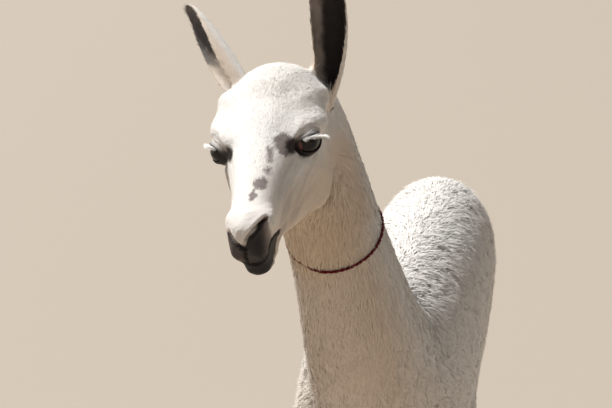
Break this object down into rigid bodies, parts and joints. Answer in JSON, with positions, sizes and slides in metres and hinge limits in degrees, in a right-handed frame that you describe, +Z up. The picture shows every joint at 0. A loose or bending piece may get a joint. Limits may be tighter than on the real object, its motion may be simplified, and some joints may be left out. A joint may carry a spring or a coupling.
{
  "type": "llama",
  "caption": "Life-size still model of a standing young white llama, head turned slightly and ears up, with a thin red yarn collar.",
  "frame": {"origin": "on the floor, under the middle of the whole animal's bounding box", "axes": "+Z up, the animal faces -Y, its left side is towards +X"},
  "size_m": [0.3832, 1.2578, 1.5163],
  "materials": {
    "wool": "short wavy white wool",
    "short_hair": "short flat white hair, dark skin at nose, lips and eyes",
    "eye": "wet gloss over dark brown",
    "horn": "dark horn, satin",
    "yarn": "twisted red wool yarn"
  },
  "bodies": {
    "root": {"head": "short_hair", "ear_left": "short_hair", "ear_right": "short_hair", "neck": "wool", "trunk": "wool", "tail": "wool", "leg_front_left": "wool", "foot_front_left": "short_hair", "nail_front_left_inner": "horn", "nail_front_left_outer": "horn", "leg_front_right": "wool", "foot_front_right": "short_hair", "nail_front_right_inner": "horn", "nail_front_right_outer": "horn", "leg_hind_left": "wool", "foot_hind_left": "short_hair", "nail_hind_left_inner": "horn", "nail_hind_left_outer": "horn", "leg_hind_right": "wool", "foot_hind_right": "short_hair", "nail_hind_right_inner": "horn", "nail_hind_right_outer": "horn", "eye_left": "eye", "eye_right": "eye", "collar": "yarn"}
  },
  "joints": []
}
